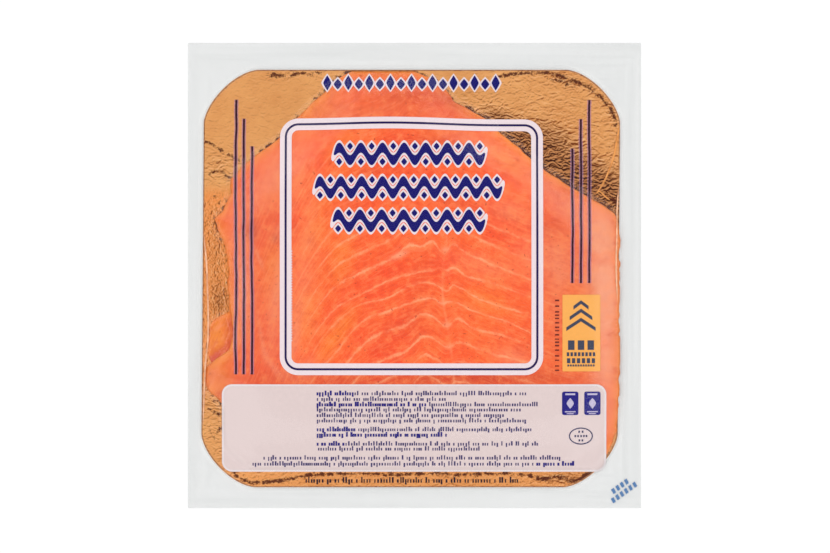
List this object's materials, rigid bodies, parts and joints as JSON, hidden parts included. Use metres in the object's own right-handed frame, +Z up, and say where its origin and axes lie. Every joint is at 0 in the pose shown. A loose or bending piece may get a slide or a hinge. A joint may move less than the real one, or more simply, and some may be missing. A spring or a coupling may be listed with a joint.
{
  "type": "vacuum pack of sliced smoked salmon",
  "caption": "Flat square clear vacuum pack: smoked salmon slices on a round-cornered gold foil board, seen through film with a printed window frame, side stripes and a pale label panel.",
  "frame": {"origin": "middle of the pouch's outline, on its underside", "axes": "+Z up out of the printed face, +Y towards the top of the print, +X to its right"},
  "size_m": [0.21, 0.2156, 0.0079],
  "materials": {
    "clear_film": "clear glossy evacuated film",
    "gold_board": "gold-lacquered foil laminated to card, crinkled, glossy",
    "salmon": "moist sliced cold-smoked fish with pale fat lines",
    "print": "ink on the inner face of the film"
  },
  "bodies": {
    "root": {"pouch": "clear_film"}
  },
  "joints": []
}
